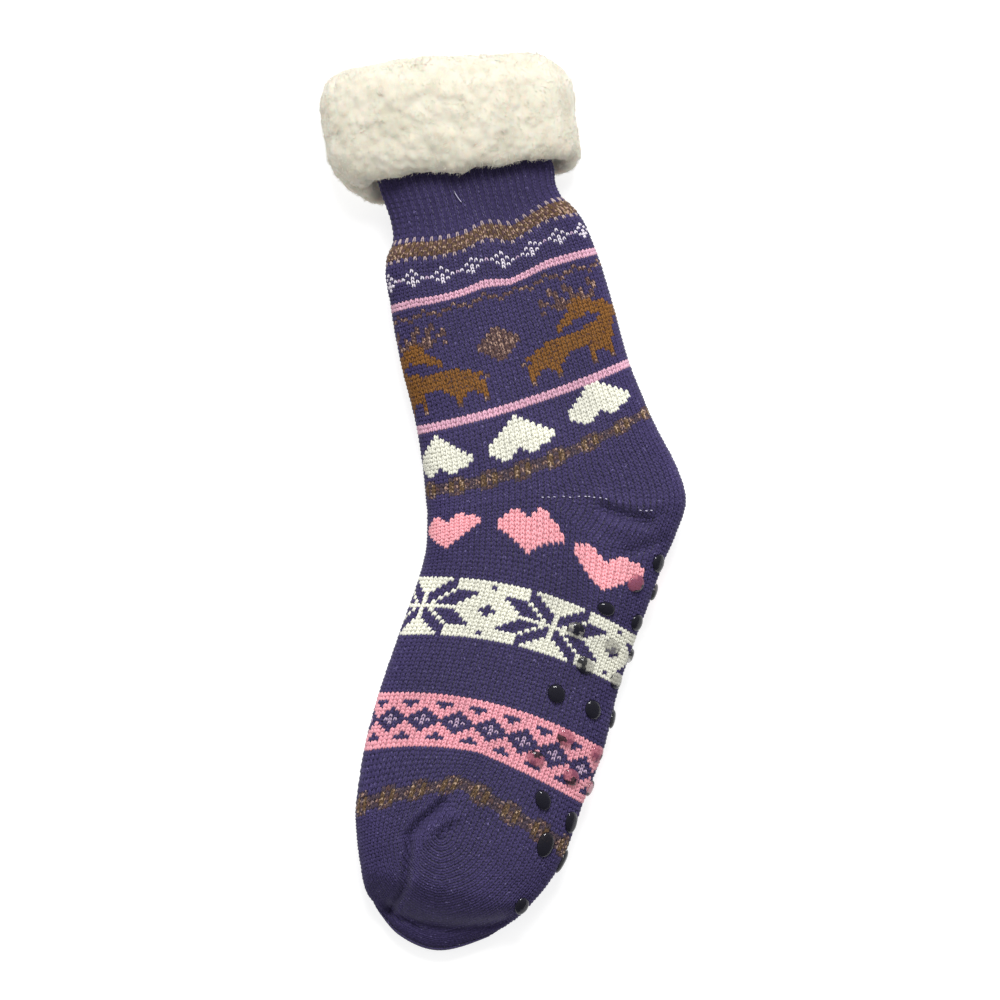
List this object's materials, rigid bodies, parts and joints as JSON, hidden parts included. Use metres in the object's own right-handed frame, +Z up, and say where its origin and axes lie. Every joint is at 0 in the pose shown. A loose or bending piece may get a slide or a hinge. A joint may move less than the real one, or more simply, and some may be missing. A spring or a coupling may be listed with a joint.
{
  "type": "slipper sock",
  "caption": "Slack fleece-lined slipper sock lying on its side, jacquard knit with a turned-down fleece cuff and silicone gripper dots.",
  "frame": {"origin": "on the floor under the middle of the lying sock's box", "axes": "+Z up, +Y from the toe to the cuff, +X to the heel and sole side"},
  "size_m": [0.1632, 0.395, 0.0527],
  "materials": {
    "knit": "thick jersey knit in acrylic yarn, matt, purple ground with jacquard bands",
    "fleece": "curly fleece pile, cream white, matt",
    "silicone": "clear silicone dots, glossy"
  },
  "bodies": {
    "root": {"knit_upper": "knit", "fleece_cuff": "fleece", "gripper_dot_01": "silicone", "gripper_dot_02": "silicone", "gripper_dot_03": "silicone", "gripper_dot_04": "silicone", "gripper_dot_05": "silicone", "gripper_dot_06": "silicone", "gripper_dot_07": "silicone", "gripper_dot_08": "silicone", "gripper_dot_09": "silicone", "gripper_dot_10": "silicone", "gripper_dot_11": "silicone", "gripper_dot_12": "silicone", "gripper_dot_13": "silicone", "gripper_dot_14": "silicone", "gripper_dot_15": "silicone", "gripper_dot_16": "silicone", "gripper_dot_17": "silicone", "gripper_dot_18": "silicone", "gripper_dot_19": "silicone", "gripper_dot_20": "silicone", "gripper_dot_21": "silicone", "gripper_dot_22": "silicone", "gripper_dot_23": "silicone", "gripper_dot_24": "silicone", "gripper_dot_25": "silicone", "gripper_dot_26": "silicone", "gripper_dot_27": "silicone", "gripper_dot_28": "silicone", "gripper_dot_29": "silicone", "gripper_dot_30": "silicone", "gripper_dot_31": "silicone", "gripper_dot_32": "silicone", "gripper_dot_33": "silicone", "gripper_dot_34": "silicone", "gripper_dot_35": "silicone", "gripper_dot_36": "silicone", "gripper_dot_37": "silicone", "gripper_dot_38": "silicone", "gripper_dot_39": "silicone", "gripper_dot_40": "silicone", "gripper_dot_41": "silicone"}
  },
  "joints": []
}
